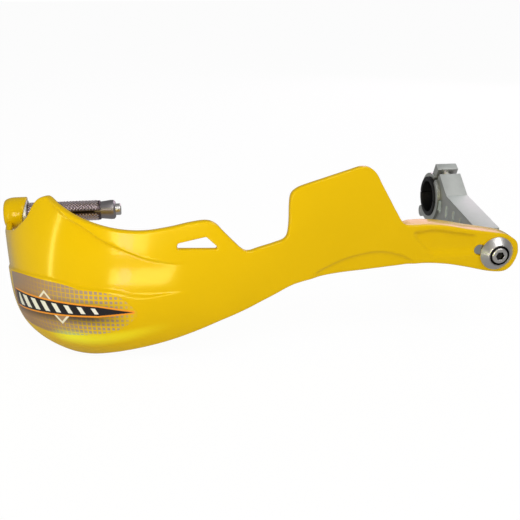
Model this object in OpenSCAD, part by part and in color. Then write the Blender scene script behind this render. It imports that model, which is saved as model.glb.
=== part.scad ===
// Wrap-around hand guard for a motorcycle handlebar, right-hand side.
// A moulded shell is carried by a hinged bar clamp inboard and by an expander plug in the bar end.
// Origin: centre of the clamp bore. X runs along the handlebar, plus X inboard.
// Minus Y is forward, plus Z is up. Lengths are millimetres.

/* [Shell] */
// Middle of the clamp to the outer face of the bar-end boss
span = 308.5; // [292:0.5:325]
// Handlebar axis forward to the outer face of the shell at the clamp arm
arm_reach = 94; // [86:0.5:104]
// Shell reaches this far inboard of the clamp's middle
inboard_end = 15.5; // [14:0.5:20]
// Wall of the shell
wall = 4; // [3:0.1:5]
// Top corner of the wing above the handlebar axis
wing_h = 48.2; // [40:0.2:56]
// Peak beside the bar-end boss above the handlebar axis
peak_h = 32; // [26:0.5:38]
// Lowest point of the skirt below the handlebar axis
skirt_d = 65.2; // [56:0.2:74]
// Forward bow of the middle of the shell, degrees
bow = 7.5; // [4:0.5:11]
// Set-back of the upper panel, 50 mm above the belt line
lean = 9; // [3:0.5:14]
// Tuck-under of the skirt, 40 mm below the belt line
tuck = 9; // [3:0.5:12]
// Depth of the hollow pressed into the panel
hollow_d = 1.8; // [0.6:0.1:2.4]
// Depth of the shallow step under the wing
arc_d = 1.2; // [0.4:0.1:2]
// Depth of the pocket beside the adjusting slot
pocket_d = 1.8; // [0.6:0.1:2.4]
// Depth of the stiffening flange behind the inboard top edge
flange_d = 11; // [6:0.5:14]
// Thickness of that flange
flange_t = 3; // [2:0.1:4]
// Clear width of the adjusting slot
slot_w = 6.6; // [6.4:0.1:8]
// Travel of the screw in the adjusting slot
slot_travel = 11.2; // [8:0.5:16]

/* [Bar-end boss] */
// Outside radius of the boss
boss_r = 11; // [10.5:0.1:13]
// Thickness of the boss along the bar
boss_t = 12; // [10:0.5:15]
// Rounding of the boss's outer rim
boss_round = 3; // [1:0.25:3.25]
// Length of that rounding along the bar
boss_dome = 7; // [3:0.5:8]
// Hood of the boss over the top of the collar
hood_l = 3; // [1:0.25:4]
// Radius of the counterbore for the screw head
cbore_r = 7.3; // [7.2:0.1:7.6]
// Depth of the counterbore
cbore_d = 6.4; // [5:0.1:8]

/* [Bar clamp] */
// Diameter of the handlebar that the reducer fits
bar_d = 22.2; // [22:0.1:22.4]
// Outside diameter of the reducer
reducer_d = 28.6; // [28:0.1:29]
// Length of the reducer along the bar
reducer_l = 21; // [18:0.5:24]
// Width of the clamp arm
arm_w = 15.4; // [14:0.2:16.4]
// Outside radius of the arm's saddle round the reducer
saddle_r = 18.2; // [17.6:0.1:19]
// Width of that saddle
saddle_w = 19.6; // [17:0.2:22]
// Wall of the hinged cap
cap_wall = 2.7; // [2.2:0.1:3.4]
// Width of the hinged cap
cap_w = 17.4; // [15:0.2:19]
// Width of the cap's ear
ear_w = 15; // [12:0.2:16.4]
// Height of the clamp ears from the bar axis
ear_h = 23.8; // [23.4:0.1:26]
// Thickness of the cap's ear
ear_t = 6; // [5:0.25:7.5]
// Opening between the two ears
ear_gap = 4.2; // [2:0.2:5]
// Slope of the ears, degrees above the forward direction
ear_angle = 62; // [56:1:68]
// Height of the arm's end face that the shell rests on
foot_h = 14; // [13:0.2:16]
// Depth of the lightening pockets in each side of the arm
side_pocket = 4; // [1:0.25:5]
// Radius of the hinge knuckles
knuckle_r = 4.2; // [3.6:0.1:4.6]
// Diameter of the hinge pin
hinge_pin_d = 3; // [2.5:0.1:3.6]

/* [Screws and washers] */
// Diameter of the inboard screw
arm_screw_d = 6; // [5:0.5:6]
// Length of the inboard screw below its head
arm_screw_l = 20; // [17:0.5:22]
// Distance of the inboard screw below the handlebar axis
arm_screw_z = 10; // [9.4:0.2:10.6]
// Inboard offset of the inboard screw from the middle of the clamp
arm_screw_x = 0.8; // [0:0.2:1.6]
// Outside diameter of the cone washer
cone_d = 21.4; // [20:0.2:23]
// Height of the cone washer
cone_h = 5; // [4:0.1:6]
// Web under the screw head in the cone washer
cone_web = 1.8; // [1:0.1:2.2]
// Diameter of the clamp screw
clamp_screw_d = 5; // [4:0.5:5]
// Length of the clamp screw, head included
clamp_screw_l = 16; // [14:0.5:17]
// Diameter of the bar-end screw
end_screw_d = 8; // [7:0.5:8]
// Length of the bar-end screw below its head
end_screw_l = 72; // [68:0.5:76]
// Thickness of the bar-end washer
end_washer_t = 1.2; // [0.8:0.1:1.6]

/* [Expander plug] */
// Outside diameter of the knurled sleeve
sleeve_d = 14; // [13:0.1:14.4]
// Length of the knurled sleeve
sleeve_l = 48.5; // [44:0.5:54]
// Width of the sleeve's expanding slots
sleeve_slot = 1.4; // [1:0.1:2]
// Turn of those slots from the forward direction, degrees
sleeve_slot_turn = 8; // [0:1:20]
// Length of the sleeve's expanding slots
sleeve_slot_l = 31; // [20:0.5:36]
// Diameter of the collar between boss and bar end
collar_d = 18; // [16:0.2:20]
// Thickness of that collar
collar_t = 3; // [2:0.1:4]
// Largest diameter of the wedge nut, smaller than the sleeve
wedge_d = 13.2; // [12:0.1:13.6]
// Length of the wedge nut outside the sleeve
wedge_out = 10; // [8:0.5:12]
// Length of the wedge nut inside the sleeve
wedge_in = 5; // [3:0.5:7]

/* [Graphic film] */
// Thickness of the printed film
film_t = 0.3; // [0.2:0.05:0.5]

/* [Clearances] */
// Round parts that seat in one another
seat_gap = 0.05; // [0.03:0.01:0.1]
// Screws in plain holes
screw_gap = 0.3; // [0.2:0.05:0.5]
// Side play between hinge knuckles
hinge_gap = 0.2; // [0.1:0.05:0.4]
// Between the shell's flange and the top of the arm's foot
foot_gap = 0.9; // [0.4:0.1:1.5]
// Play between the two halves of the reducer
reducer_gap = 0.3; // [0.1:0.05:0.6]
// Taper play between wedge nut and sleeve
wedge_gap = 0.1; // [0.05:0.05:0.3]

/* [Hidden] */
big = 200;
fine = 96;
// length along the guide line at which the shell meets the bar axis
s_bar = 392;
reducer_r = reducer_d/2;
bore_r = bar_d/2;
cap_r = reducer_r + cap_wall;
foot_y = -arm_reach + wall;
boss_in = -span + boss_t;
sleeve_x0 = boss_in + collar_t;
sleeve_x1 = sleeve_x0 + sleeve_l;
washer_x = -span + cbore_d;
head_x = washer_x - end_washer_t;
end_head_r = 6.5;
end_head_h = 5;
arm_head_r = 5;
arm_head_h = 4;
clamp_head_r = 4.6;
clamp_sink = 2.1;
ear_bolt_r = ear_h - clamp_head_r - 0.4;
knuckle_a = -50;
knuckle_pos = (reducer_r + 5.2)*[cos(knuckle_a), sin(knuckle_a)];
ear_up = [-cos(ear_angle), sin(ear_angle)];
ear_fwd = [-sin(ear_angle), -cos(ear_angle)];

// Smooth step from 0 at a to 1 at b
function ramp(x, a, b) =
    let (t = min(1, max(0, (x - a)/(b - a))))
    t*t*t*(t*(t*6 - 15) + 10);

// Direction of the shell in plan, 0 towards the bar end, 90 back towards the rider
function heading(s) =
    60*ramp(s, 205, 370) + 22*ramp(s, 295, 370)
    - bow*(ramp(s, 60, 140) - ramp(s, 160, 205));

// Guide line of the outer face, walked in 2 mm steps, as [length, along, back]
guide = [for (i = 0, x = 0, y = 0; i <= 210;
              x = x + cos(heading(2*i)) + cos(heading(2*i + 2)),
              y = y + sin(heading(2*i)) + sin(heading(2*i + 2)),
              i = i + 1) [2*i, x, y]];
run = [for (g = guide) [g[0], g[1]]];
rise = [for (g = guide) [g[0], g[2]]];
run_k = (span + inboard_end)/lookup(s_bar, run);
rise_k = arm_reach/lookup(s_bar, rise);
function guide_x(s) = inboard_end - run_k*lookup(s, run);
function guide_y(s) = -arm_reach + rise_k*lookup(s, rise);

// Section of the shell: belt line, lean of the upper panel, tuck of the skirt
function belt(s) = -8 - 14*ramp(s, 80, 240) + 14*ramp(s, 280, 380);
function lean_at(s) = lean*ramp(s, 80, 260)*(1 - ramp(s, 320, 388));
function tuck_at(s) = tuck*ramp(s, 90, 215)*(1 - ramp(s, 270, 388));
function set_back(s, z) =
    let (d = z - belt(s))
    d > 0 ? lean_at(s)*pow(d/50, 2) : tuck_at(s)*pow(-d/40, 3);

// Lines that bound the pressed areas, as [length, height]
hollow_top = [[214, -2.2], [221, -1.4], [231, 0.6], [240, 4], [249, 7.8], [259, 12.4],
              [269, 18.3], [283, 24], [300, 33], [340, 45]];
hollow_foot = [[214, -19.6], [221, -20.2], [232, -21.2], [241, -20.5], [250, -18.2],
               [260, -17.1], [272, -16.3], [284, -14], [303, -13.7], [332, -17.2], [372, -28]];
arc_line = [[69, -12], [74, -9.5], [84, -6.5], [94, -5.3], [110, -7.6], [122, -11.5], [135, -17.3]];
pocket_top = [[26, 2], [40, 4.7], [56, 7.1], [63, 6.6], [70, 6.2]];
pocket_side = [[-9.2, 56], [-5, 61], [1.2, 67], [6.2, 70]];
function hollow(s, z) =
    hollow_d*ramp(s, 212, 232)*(1 - ramp(s, 335, 372))
    *ramp(lookup(s, hollow_top) - z, -1.5, 2.5)*ramp(z - lookup(s, hollow_foot), -1.5, 2.5);
function arc_step(s, z) =
    arc_d*ramp(s, 66, 74)*(1 - ramp(s, 126, 136))*ramp(lookup(s, arc_line) - z, -1, 2.5);
function pocket(s, z) =
    pocket_d*ramp(s, 27, 34)*(1 - ramp(s, lookup(z, pocket_side) - 2.5, lookup(z, pocket_side) + 1))
    *ramp(lookup(s, pocket_top) - z, -0.5, 2.5)*ramp(z, -12, -4);

// Point of the shell at length s and height z, t below the outer face
function shell_at(s, z, t) =
    let (a = heading(s), o = set_back(s, z) + hollow(s, z) + arc_step(s, z) + pocket(s, z) + t)
    [guide_x(s) + o*sin(a), guide_y(s) + o*cos(a), z];

// Outline stations: [length, height] on the upper edge, then on the lower edge
stations = [
    [0, -9, 0, -11],
    [1.2, -4, 1.2, -15.5],
    [4.5, -0.8, 4, -20.2],
    [10, 2, 9, -22.8],
    [20, 3.9, 19, -22],
    [34, 6.3, 33, -18.6],
    [48, 9.2, 46, -15.9],
    [60, 10.6, 59, -14.5],
    [70, 10.7, 69, -14.6],
    [76, 12, 75, -15.1],
    [81, 0.4*wing_h, 80, -15.5],
    [86, 0.58*wing_h, 85, -15.8],
    [91, 0.76*wing_h, 89, -16.1],
    [95, 0.905*wing_h, 93, -16.3],
    [99.5, wing_h - 0.8, 98, -16.6],
    [104.5, wing_h, 103, -16.8],
    [113, wing_h - 2.2, 111, -17],
    [127, wing_h - 6, 122, -17.6],
    [139, wing_h - 9.3, 132, -18.8],
    [143.5, wing_h - 11.2, 138, -19.7],
    [146.5, wing_h - 14.2, 142, -20.5],
    [147.5, 0.58*wing_h, 145, -21.2],
    [148, 0.33*wing_h, 148, -22.3],
    [150, 8.6, 151, -23.6],
    [157, 6, 157, -26.4],
    [166, 4, 166, -30.3],
    [172, 2.6, 172, -33],
    [176, 3.8, 177, -35.1],
    [181, 8.6, 183, -37.5],
    [187, 14.8, 189, -39.8],
    [191.5, 19.5, 194, -41.9],
    [197, 21.3, 199, -44.1],
    [206, 20.4, 208, 17.4 - skirt_d],
    [218, 18.1, 219, 13.3 - skirt_d],
    [232, 16.5, 232, 9.3 - skirt_d],
    [246, 17.2, 246, 5.7 - skirt_d],
    [260, peak_h - 12.2, 260, 2.5 - skirt_d],
    [275, peak_h - 8, 274, 0.1 - skirt_d],
    [288, peak_h - 3.2, 286, 0.2 - skirt_d],
    [297, peak_h, 297, 2.8 - skirt_d],
    [303, peak_h - 0.1, 306, 5.6 - skirt_d],
    [308.5, peak_h - 2.6, 315, 8.9 - skirt_d],
    [312.5, peak_h - 7.4, 323, 12.2 - skirt_d],
    [316, 18.6, 331, 16.7 - skirt_d],
    [323, 13, 341, -40],
    [332, 7.6, 352, -29.5],
    [350, 2, 364, -20],
    [367, -2.4, 375, -15],
    [384, -3, 384, -12.4]
];

// Smooth curve through the stations at a place counted in stations
function station(p) =
    let (n = len(stations) - 1,
         i = min(n - 1, floor(p)),
         t = p - i,
         a = stations[max(0, i - 1)],
         b = stations[i],
         c = stations[i + 1],
         d = stations[min(n, i + 2)])
    0.5*(2*b + (c - a)*t + (2*a - 5*b + 4*c - d)*t*t + (3*b - a - 3*c + d)*t*t*t);

cols = 2*(len(stations) - 1);
rows = 24;
grid = [for (i = [0:cols]) let (q = station(i/2))
        [for (j = [0:rows]) let (w = j/rows) [q[2] + (q[0] - q[2])*w, q[3] + (q[1] - q[3])*w]]];

// Closed sheet over the grid between columns c0 to c1 and rows r0 to r1, from depth t0 to depth t1
module sheet(c0, c1, r0, r1, t0, t1) {
    nc = c1 - c0;
    nr = r1 - r0;
    k = nr + 1;
    half = (nc + 1)*k;
    outer = [for (i = [c0:c1], j = [r0:r1]) shell_at(grid[i][j][0], grid[i][j][1], t0)];
    inner = [for (i = [c0:c1], j = [r0:r1]) shell_at(grid[i][j][0], grid[i][j][1], t1)];
    faces = concat(
        [for (i = [0:nc - 1], j = [0:nr - 1]) [i*k + j, (i + 1)*k + j, (i + 1)*k + j + 1]],
        [for (i = [0:nc - 1], j = [0:nr - 1]) [i*k + j, (i + 1)*k + j + 1, i*k + j + 1]],
        [for (i = [0:nc - 1], j = [0:nr - 1]) [half + i*k + j, half + (i + 1)*k + j + 1, half + (i + 1)*k + j]],
        [for (i = [0:nc - 1], j = [0:nr - 1]) [half + i*k + j, half + i*k + j + 1, half + (i + 1)*k + j + 1]],
        [for (i = [0:nc - 1], e = [0, nr]) let (a = i*k + e, b = a + k)
            e == 0 ? [a, half + a, half + b] : [a, b, half + b]],
        [for (i = [0:nc - 1], e = [0, nr]) let (a = i*k + e, b = a + k)
            e == 0 ? [a, half + b, b] : [a, half + b, half + a]],
        [for (j = [0:nr - 1], e = [0, nc]) let (a = e*k + j, b = a + 1)
            e == 0 ? [a, b, half + b] : [a, half + b, b]],
        [for (j = [0:nr - 1], e = [0, nc]) let (a = e*k + j, b = a + 1)
            e == 0 ? [a, half + b, half + a] : [a, half + a, half + b]]);
    polyhedron(points = concat(outer, inner), faces = faces);
}

// Stiffening flange behind the inboard top edge, as [length, top height, depth share]
flange_line = [[4, -3.4, 0.4], [7, -0.4, 0.6], [12, 1.6, 0.8], [20, 3.2, 0.95], [34, 5.6, 1],
               [48, 8.5, 1], [60, 9.9, 1], [70, 10, 1], [82, 9.2, 0.8], [96, 7, 0.2]];

module flange() {
    n = len(flange_line) - 1;
    points = [for (f = flange_line, c = [[0, 0], [1, 0], [1, -1], [0, -1]])
              shell_at(f[0], f[1], 1) + [0, c[0]*(flange_d*f[2] + 1), c[1]*flange_t]];
    sides = [for (i = [0:n - 1], c = [0:3]) let (a = 4*i + c, b = 4*i + (c + 1)%4)
             [a, b + 4, b]];
    sides2 = [for (i = [0:n - 1], c = [0:3]) let (a = 4*i + c, b = 4*i + (c + 1)%4)
              [a, a + 4, b + 4]];
    polyhedron(points = points,
               faces = concat(sides, sides2, [[1, 2, 3], [0, 1, 3]],
                              [[4*n + 2, 4*n + 1, 4*n], [4*n + 3, 4*n + 2, 4*n]]));
}

module along_x() {
    rotate([0, 90, 0]) children();
}

module along_y() {
    rotate([90, 0, 0]) children();
}

// Section of the boss: radius, then distance inboard of its outer face
module boss() {
    translate([-span, 0, 0]) along_x()
        rotate_extrude($fn = 64)
            polygon(concat([[0, boss_t], [0, 0]],
                           [for (a = [0:18:90]) [boss_r - boss_round + boss_round*sin(a),
                                                 boss_dome*(1 - cos(a))]],
                           [[boss_r, boss_t - 0.8], [boss_r - 0.8, boss_t]]));
}

// Hood over the top of the collar, its end sloping back to the boss at mid height
module boss_hood() {
    translate([boss_in, 0, 0]) difference() {
        translate([-2, 0, 0]) along_x() difference() {
            cylinder(r = boss_r, h = hood_l + 2, $fn = 64);
            translate([0, 0, -1]) cylinder(r = collar_d/2 + screw_gap, h = big, $fn = 64);
        }
        rotate([0, atan2(hood_l, boss_r), 0]) translate([0, -big/2, -big/2]) cube(big);
    }
}

// Triangular window under the inner hump of the panel
module window_cut() {
    corners = [[214.6, 5.9], [213.6, 9], [197.3, 12.2], [189.6, 5]];
    translate([0, -arm_reach + 30, 0]) along_y() linear_extrude(60)
        offset(r = 1, $fn = 24) offset(delta = -1)
            polygon([for (c = corners) [guide_x(c[0]), c[1]]]);
}

module slot_cut() {
    translate([arm_screw_x, -arm_reach + wall + 5, -arm_screw_z]) along_y() linear_extrude(wall + 10)
        rotate(-12.5) hull() {
            translate([4, 0]) circle(d = slot_w, $fn = 32);
            translate([-slot_travel, 0]) circle(d = slot_w, $fn = 32);
        }
}

module shield() {
    color("gold") difference() {
        union() {
            sheet(0, cols, 0, rows, 0, wall);
            flange();
            boss();
            boss_hood();
        }
        window_cut();
        slot_cut();
        translate([-span - 20, 0, 0]) along_x() cylinder(r = cbore_r, h = 20 + cbore_d, $fn = fine);
        translate([-span - 1, 0, 0]) along_x()
            cylinder(r = end_screw_d/2 + screw_gap, h = boss_t + 6, $fn = fine);
    }
}

// Printed film on the skirt, on the shell's own facets
module graphic_film() {
    color("lightgrey") sheet(69, 87, 4, 12, -film_t, 0);
}

// Rear region of a clamp section, left to the hinged cap
module rear_region() {
    corner = ear_fwd*ear_gap/2;
    polygon([corner, corner + big*ear_up, [big, big], big*[cos(knuckle_a - 1), sin(knuckle_a - 1)]]);
}

// Front region of a clamp section, left to the arm
module front_region() {
    corner = -ear_fwd*ear_gap/2;
    polygon([corner, corner + big*ear_up, [-big, big], [-big, -big], big*[cos(knuckle_a + 1), sin(knuckle_a + 1)]]);
}

// Side view of the arm: sloping top, foot under the shell's flange
module arm_section() {
    difference() {
        arm_outline(-flange_t - foot_gap);
        rear_region();
        circle(r = reducer_r + seat_gap, $fn = fine);
    }
}

// Side view of the saddle round the front of the reducer, and its knuckle
module saddle_section() {
    difference() {
        union() {
            translate(knuckle_pos) circle(r = knuckle_r, $fn = 48);
            difference() {
                circle(r = saddle_r, $fn = fine);
                rear_region();
            }
        }
        circle(r = reducer_r + seat_gap, $fn = fine);
    }
}

module arm_outline(top_z) {
    polygon([[0, 12], ear_up*(ear_h - 0.4) + ear_fwd*(ear_gap/2 - 3),
             ear_up*(ear_h - 0.4) + ear_fwd*(ear_gap/2 + 0.6),
             [-28.4, 8.3], [foot_y + 9.5, 1.7], [foot_y + 8.6, top_z], [foot_y, top_z],
             [foot_y, top_z - foot_h], [foot_y + 6, top_z - foot_h - 0.4],
             [-62, -14.2], [-40, -13.2], [-24, -15], [-12, -17], [0, -12]]);
}

module arm_pocket(y, z, h) {
    for (side = [-1, 1])
        translate([side*(arm_w/2 - side_pocket/2 + 0.5), y, z]) along_x()
            linear_extrude(side_pocket + 1, center = true) {
                square([h - 4.6, 4.6], center = true);
                for (e = [-1, 1]) translate([e*(h - 4.6)/2, 0]) circle(d = 4.6, $fn = 32);
            }
}

module clamp_arm() {
    color("silver") difference() {
        rotate([90, 0, 90]) {
            linear_extrude(arm_w, center = true) arm_section();
            linear_extrude(saddle_w, center = true) saddle_section();
        }
        translate([0, knuckle_pos[0], knuckle_pos[1]]) along_x() {
            cylinder(r = hinge_pin_d/2 + seat_gap, h = big, center = true, $fn = 32);
            cylinder(r = knuckle_r + 0.3, h = saddle_w/3 + hinge_gap, center = true, $fn = 48);
        }
        on_clamp_screw() cylinder(r = clamp_screw_d/2 + seat_gap, h = clamp_screw_l + 1.2, $fn = 48);
        translate([arm_screw_x, foot_y - 1, -arm_screw_z]) rotate([-90, 0, 0])
            cylinder(d = arm_screw_d + 2*seat_gap, h = arm_screw_l - wall - cone_web + 2.5, $fn = 48);
        arm_pocket(-19.5, -2.4, 9.6);
        arm_pocket(-31.5, -2.6, 9.6);
        arm_pocket(-43.5, -2.8, 9.6);
        arm_pocket(-55.5, -4.2, 9.6);
    }
}

// Side view of the hinged cap: band over the rear of the reducer, and knuckle
module cap_section() {
    difference() {
        union() {
            translate(knuckle_pos) circle(r = knuckle_r, $fn = 48);
            difference() {
                circle(r = cap_r, $fn = fine);
                front_region();
            }
        }
        circle(r = reducer_r + seat_gap, $fn = fine);
    }
}

// Side view of the cap's ear, rooted in the band
module cap_ear() {
    front = -ear_gap/2 - 0.1;
    rear = front - ear_t;
    polygon([for (c = [[reducer_r + 0.9, front], [ear_h, front], [ear_h, rear],
                       [sqrt(pow(reducer_r + 1.2, 2) - rear*rear), rear]])
             ear_up*c[0] + ear_fwd*c[1]]);
}

module clamp_cap() {
    color("silver") difference() {
        rotate([90, 0, 90]) {
            linear_extrude(cap_w, center = true) cap_section();
            linear_extrude(ear_w, center = true) cap_ear();
        }
        translate([0, knuckle_pos[0], knuckle_pos[1]]) along_x() {
            cylinder(r = hinge_pin_d/2 + seat_gap, h = big, center = true, $fn = 32);
            for (side = [-1, 1]) translate([0, 0, side*(saddle_w/6 + 10)])
                cylinder(r = knuckle_r + 0.3, h = 20, center = true, $fn = 48);
        }
        on_clamp_screw() rotate_extrude($fn = 48)
            polygon([[0, -3], [clamp_head_r + seat_gap, -3], [clamp_head_r + seat_gap, seat_gap],
                     [clamp_screw_d/2 + screw_gap, clamp_sink - screw_gap + seat_gap],
                     [clamp_screw_d/2 + screw_gap, clamp_screw_l], [0, clamp_screw_l]]);
    }
}

// Along the clamp screw, from the rear face of the cap's ear into the arm
module on_clamp_screw() {
    start = ear_up*ear_bolt_r + ear_fwd*(-ear_gap/2 - ear_t);
    translate([0, start[0], start[1]]) rotate([180 - ear_angle, 0, 0]) children();
}

// Countersunk screw, its head flush with the rear of the cap's ear
module clamp_screw() {
    color("dimgray") on_clamp_screw() difference() {
        rotate_extrude($fn = 48)
            polygon([[0, 0], [clamp_head_r, 0], [clamp_screw_d/2, clamp_sink],
                     [clamp_screw_d/2, clamp_screw_l - 0.5], [clamp_screw_d/2 - 0.5, clamp_screw_l],
                     [0, clamp_screw_l]]);
        translate([0, 0, -1]) cylinder(d = 3.1/cos(30), h = 3, $fn = 6);
    }
}

module hinge_pin() {
    color("dimgray") translate([0, knuckle_pos[0], knuckle_pos[1]]) along_x()
        cylinder(d = hinge_pin_d, h = saddle_w, center = true, $fn = 32);
}

// One half of the reducer, side 1 above and -1 below the handlebar axis
module reducer_half(side) {
    color("black") difference() {
        along_x() cylinder(r = reducer_r, h = reducer_l, center = true, $fn = fine);
        along_x() cylinder(r = bore_r, h = big, center = true, $fn = fine);
        translate([0, 0, -side*(big/2 - reducer_gap/2)]) cube(big, center = true);
    }
}

module reducer_upper() {
    reducer_half(1);
}

module reducer_lower() {
    reducer_half(-1);
}

// Turned about the inboard screw's axis, heights measured forward from the shell's face
module on_arm_screw() {
    translate([arm_screw_x, -arm_reach, -arm_screw_z]) along_y() children();
}

module cone_washer() {
    top_r = arm_head_r + 2.1;
    color("gainsboro") on_arm_screw() rotate_extrude($fn = fine)
        polygon([[arm_screw_d/2 + screw_gap, 0], [cone_d/2 - 0.4, 0], [cone_d/2, 0.5], [cone_d/2, 0.9],
                 [top_r, cone_h - 0.3], [top_r - 0.4, cone_h], [top_r - 0.9, cone_h],
                 [arm_head_r + 0.7, cone_web], [arm_screw_d/2 + screw_gap, cone_web]]);
}

module socket_screw(d, l, head_r, head_h, hex, hex_d) {
    difference() {
        rotate_extrude($fn = fine)
            polygon([[0, -l], [d/2 - 0.6, -l], [d/2, -l + 0.6], [d/2, 0], [head_r, 0],
                     [head_r, head_h - 0.8], [head_r - 0.3, head_h - 0.25], [head_r - 0.9, head_h],
                     [0, head_h]]);
        translate([0, 0, head_h - hex_d]) cylinder(d = hex/cos(30), h = hex_d + 1, $fn = 6);
    }
}

module arm_screw() {
    color("silver") on_arm_screw() translate([0, 0, cone_web])
        socket_screw(arm_screw_d, arm_screw_l, arm_head_r, arm_head_h, 4.8, 2.6);
}

module bar_end_screw() {
    color("silver") translate([head_x, 0, 0]) rotate([0, -90, 0])
        socket_screw(end_screw_d, end_screw_l, end_head_r, end_head_h, 6, 3);
}

module bar_end_washer() {
    color("silver") translate([head_x, 0, 0]) along_x() difference() {
        cylinder(r = cbore_r - screw_gap, h = end_washer_t, $fn = fine);
        translate([0, 0, -1]) cylinder(d = end_screw_d + 2*screw_gap, h = end_washer_t + 2, $fn = fine);
    }
}

module bar_end_collar() {
    color("silver") translate([boss_in, 0, 0]) along_x() rotate_extrude($fn = fine)
        polygon([[end_screw_d/2 + screw_gap, 0], [collar_d/2 - 0.4, 0], [collar_d/2, 0.4],
                 [collar_d/2, collar_t - 0.4], [collar_d/2 - 0.4, collar_t],
                 [end_screw_d/2 + screw_gap, collar_t]]);
}

// Radius of the wedge nut at a distance inboard of the sleeve's mouth
function wedge_r(x) = wedge_d/2 - 0.12*(wedge_out - 3.4 - x);

module expander_sleeve() {
    bore = end_screw_d/2 + screw_gap;
    color("silver") translate([sleeve_x0, 0, 0]) along_x() difference() {
        rotate_extrude($fn = fine)
            polygon([[bore, 0], [sleeve_d/2, 0], [sleeve_d/2, sleeve_l - 0.4], [sleeve_d/2 - 0.4, sleeve_l],
                     [wedge_r(0) + wedge_gap, sleeve_l], [wedge_r(-wedge_in) + wedge_gap, sleeve_l - wedge_in],
                     [wedge_r(-wedge_in) + wedge_gap, sleeve_l - wedge_in - 1], [bore, sleeve_l - wedge_in - 2]]);
        for (a = [0:90:270])
            rotate(a - sleeve_slot_turn) translate([0, -sleeve_slot/2, sleeve_l - sleeve_slot_l])
                cube([sleeve_d, sleeve_slot, sleeve_slot_l + 1]);
    }
}

module expander_wedge() {
    bore = end_screw_d/2 + seat_gap;
    color("silver") translate([sleeve_x1, 0, 0]) along_x() rotate_extrude($fn = fine)
        polygon([[bore, -wedge_in], [wedge_r(-wedge_in) - 0.3, -wedge_in], [wedge_r(-wedge_in + 0.3), -wedge_in + 0.3],
                 [wedge_d/2, wedge_out - 3.4], [wedge_d/2, wedge_out - 1.2], [wedge_d/2 - 1.2, wedge_out],
                 [bore, wedge_out]]);
}

shield();
graphic_film();
clamp_arm();
clamp_cap();
hinge_pin();
clamp_screw();
reducer_upper();
reducer_lower();
cone_washer();
arm_screw();
bar_end_screw();
bar_end_washer();
bar_end_collar();
expander_sleeve();
expander_wedge();
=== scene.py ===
"""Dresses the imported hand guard: moulded shell, printed film, alloy clamp, expander plug.

The shell is one sheet. A point of it is given by s, its length along the guide curve from the inboard
end, by its height z, and by its depth behind the front face, all in mm.
"""
import math

import bmesh
import bpy
import numpy as np
from mathutils import Matrix, Vector
from mathutils.geometry import delaunay_2d_cdt


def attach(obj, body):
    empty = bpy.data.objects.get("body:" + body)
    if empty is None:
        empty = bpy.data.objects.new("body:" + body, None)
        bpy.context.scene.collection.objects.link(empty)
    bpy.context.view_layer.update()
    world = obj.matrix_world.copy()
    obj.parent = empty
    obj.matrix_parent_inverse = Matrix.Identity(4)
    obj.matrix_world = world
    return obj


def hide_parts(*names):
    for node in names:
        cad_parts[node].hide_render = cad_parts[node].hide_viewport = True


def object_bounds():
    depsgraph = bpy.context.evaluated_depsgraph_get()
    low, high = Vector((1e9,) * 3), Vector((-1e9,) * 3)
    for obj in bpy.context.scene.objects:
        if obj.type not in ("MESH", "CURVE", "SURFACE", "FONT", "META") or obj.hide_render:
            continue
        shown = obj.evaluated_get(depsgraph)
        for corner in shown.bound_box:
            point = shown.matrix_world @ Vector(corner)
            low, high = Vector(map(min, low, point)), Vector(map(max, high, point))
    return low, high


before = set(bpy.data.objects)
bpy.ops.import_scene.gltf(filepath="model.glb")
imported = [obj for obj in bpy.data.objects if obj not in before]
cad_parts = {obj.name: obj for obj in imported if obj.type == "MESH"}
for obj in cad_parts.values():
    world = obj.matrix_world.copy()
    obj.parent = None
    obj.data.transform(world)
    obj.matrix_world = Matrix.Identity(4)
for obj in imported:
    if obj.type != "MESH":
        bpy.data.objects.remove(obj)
cad_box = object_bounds()
BODY = "root"
MM = 0.001

# ---------------------------------------------------------------- sizes, mm and degrees, as in the part
SPAN, REACH, INBOARD, S_BAR, WALL = 308.5, 94.0, 15.5, 392.0, 4.0
WING_H, PEAK_H, SKIRT_D = 48.2, 32.0, 65.2
BOW, LEAN, TUCK = 7.5, 9.0, 9.0
HOLLOW_D, ARC_D, POCKET_D = 1.8, 1.2, 1.8
FLANGE_D, FLANGE_T = 11.0, 3.0
SLOT_TILT, SLOT_INBOARD = -12.5, 4.0
SLOT_W, SLOT_TRAVEL, ARM_SCREW_X, ARM_SCREW_Z = 6.6, 11.2, 0.8, 10.0
BOSS_R, BOSS_T, BOSS_ROUND, BOSS_DOME, CBORE_R, CBORE_D = 11.0, 12.0, 3.0, 7.0, 7.3, 6.4
BORE_R, COLLAR_R, COLLAR_T, HOOD_L = 4.3, 9.0, 3.0, 3.0
SLEEVE_R, SLEEVE_L, SLEEVE_SLOT, SLEEVE_SLOT_L, SLEEVE_SLOT_TURN = 7.0, 48.5, 1.4, 31.0, 8.0
SLEEVE_X = -SPAN + BOSS_T + COLLAR_T
CLAMP_R = 19.4
SADDLE_STEP = (7.9, 9.7)   # along the bar, where the saddle stands wider than the beam
RIM = 1.1            # rounding of the shell's edges
GRID = 1.25          # spacing of the shell's mesh
FILM_GRID = 1.5      # spacing of the film's mesh
FILM_UP = 0.14       # printed film above the shell's face
FILM_SUNK = 0.3      # its underside below that face
GUIDE_STEP = 0.25    # spacing of the guide curve's points
KNURL_SUNK = 0.35    # how far the sleeve's wall sinks to carry the knurl
KNURL_PITCH, KNURL_AROUND, KNURL_H = 2.1, 42, 0.4

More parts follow.
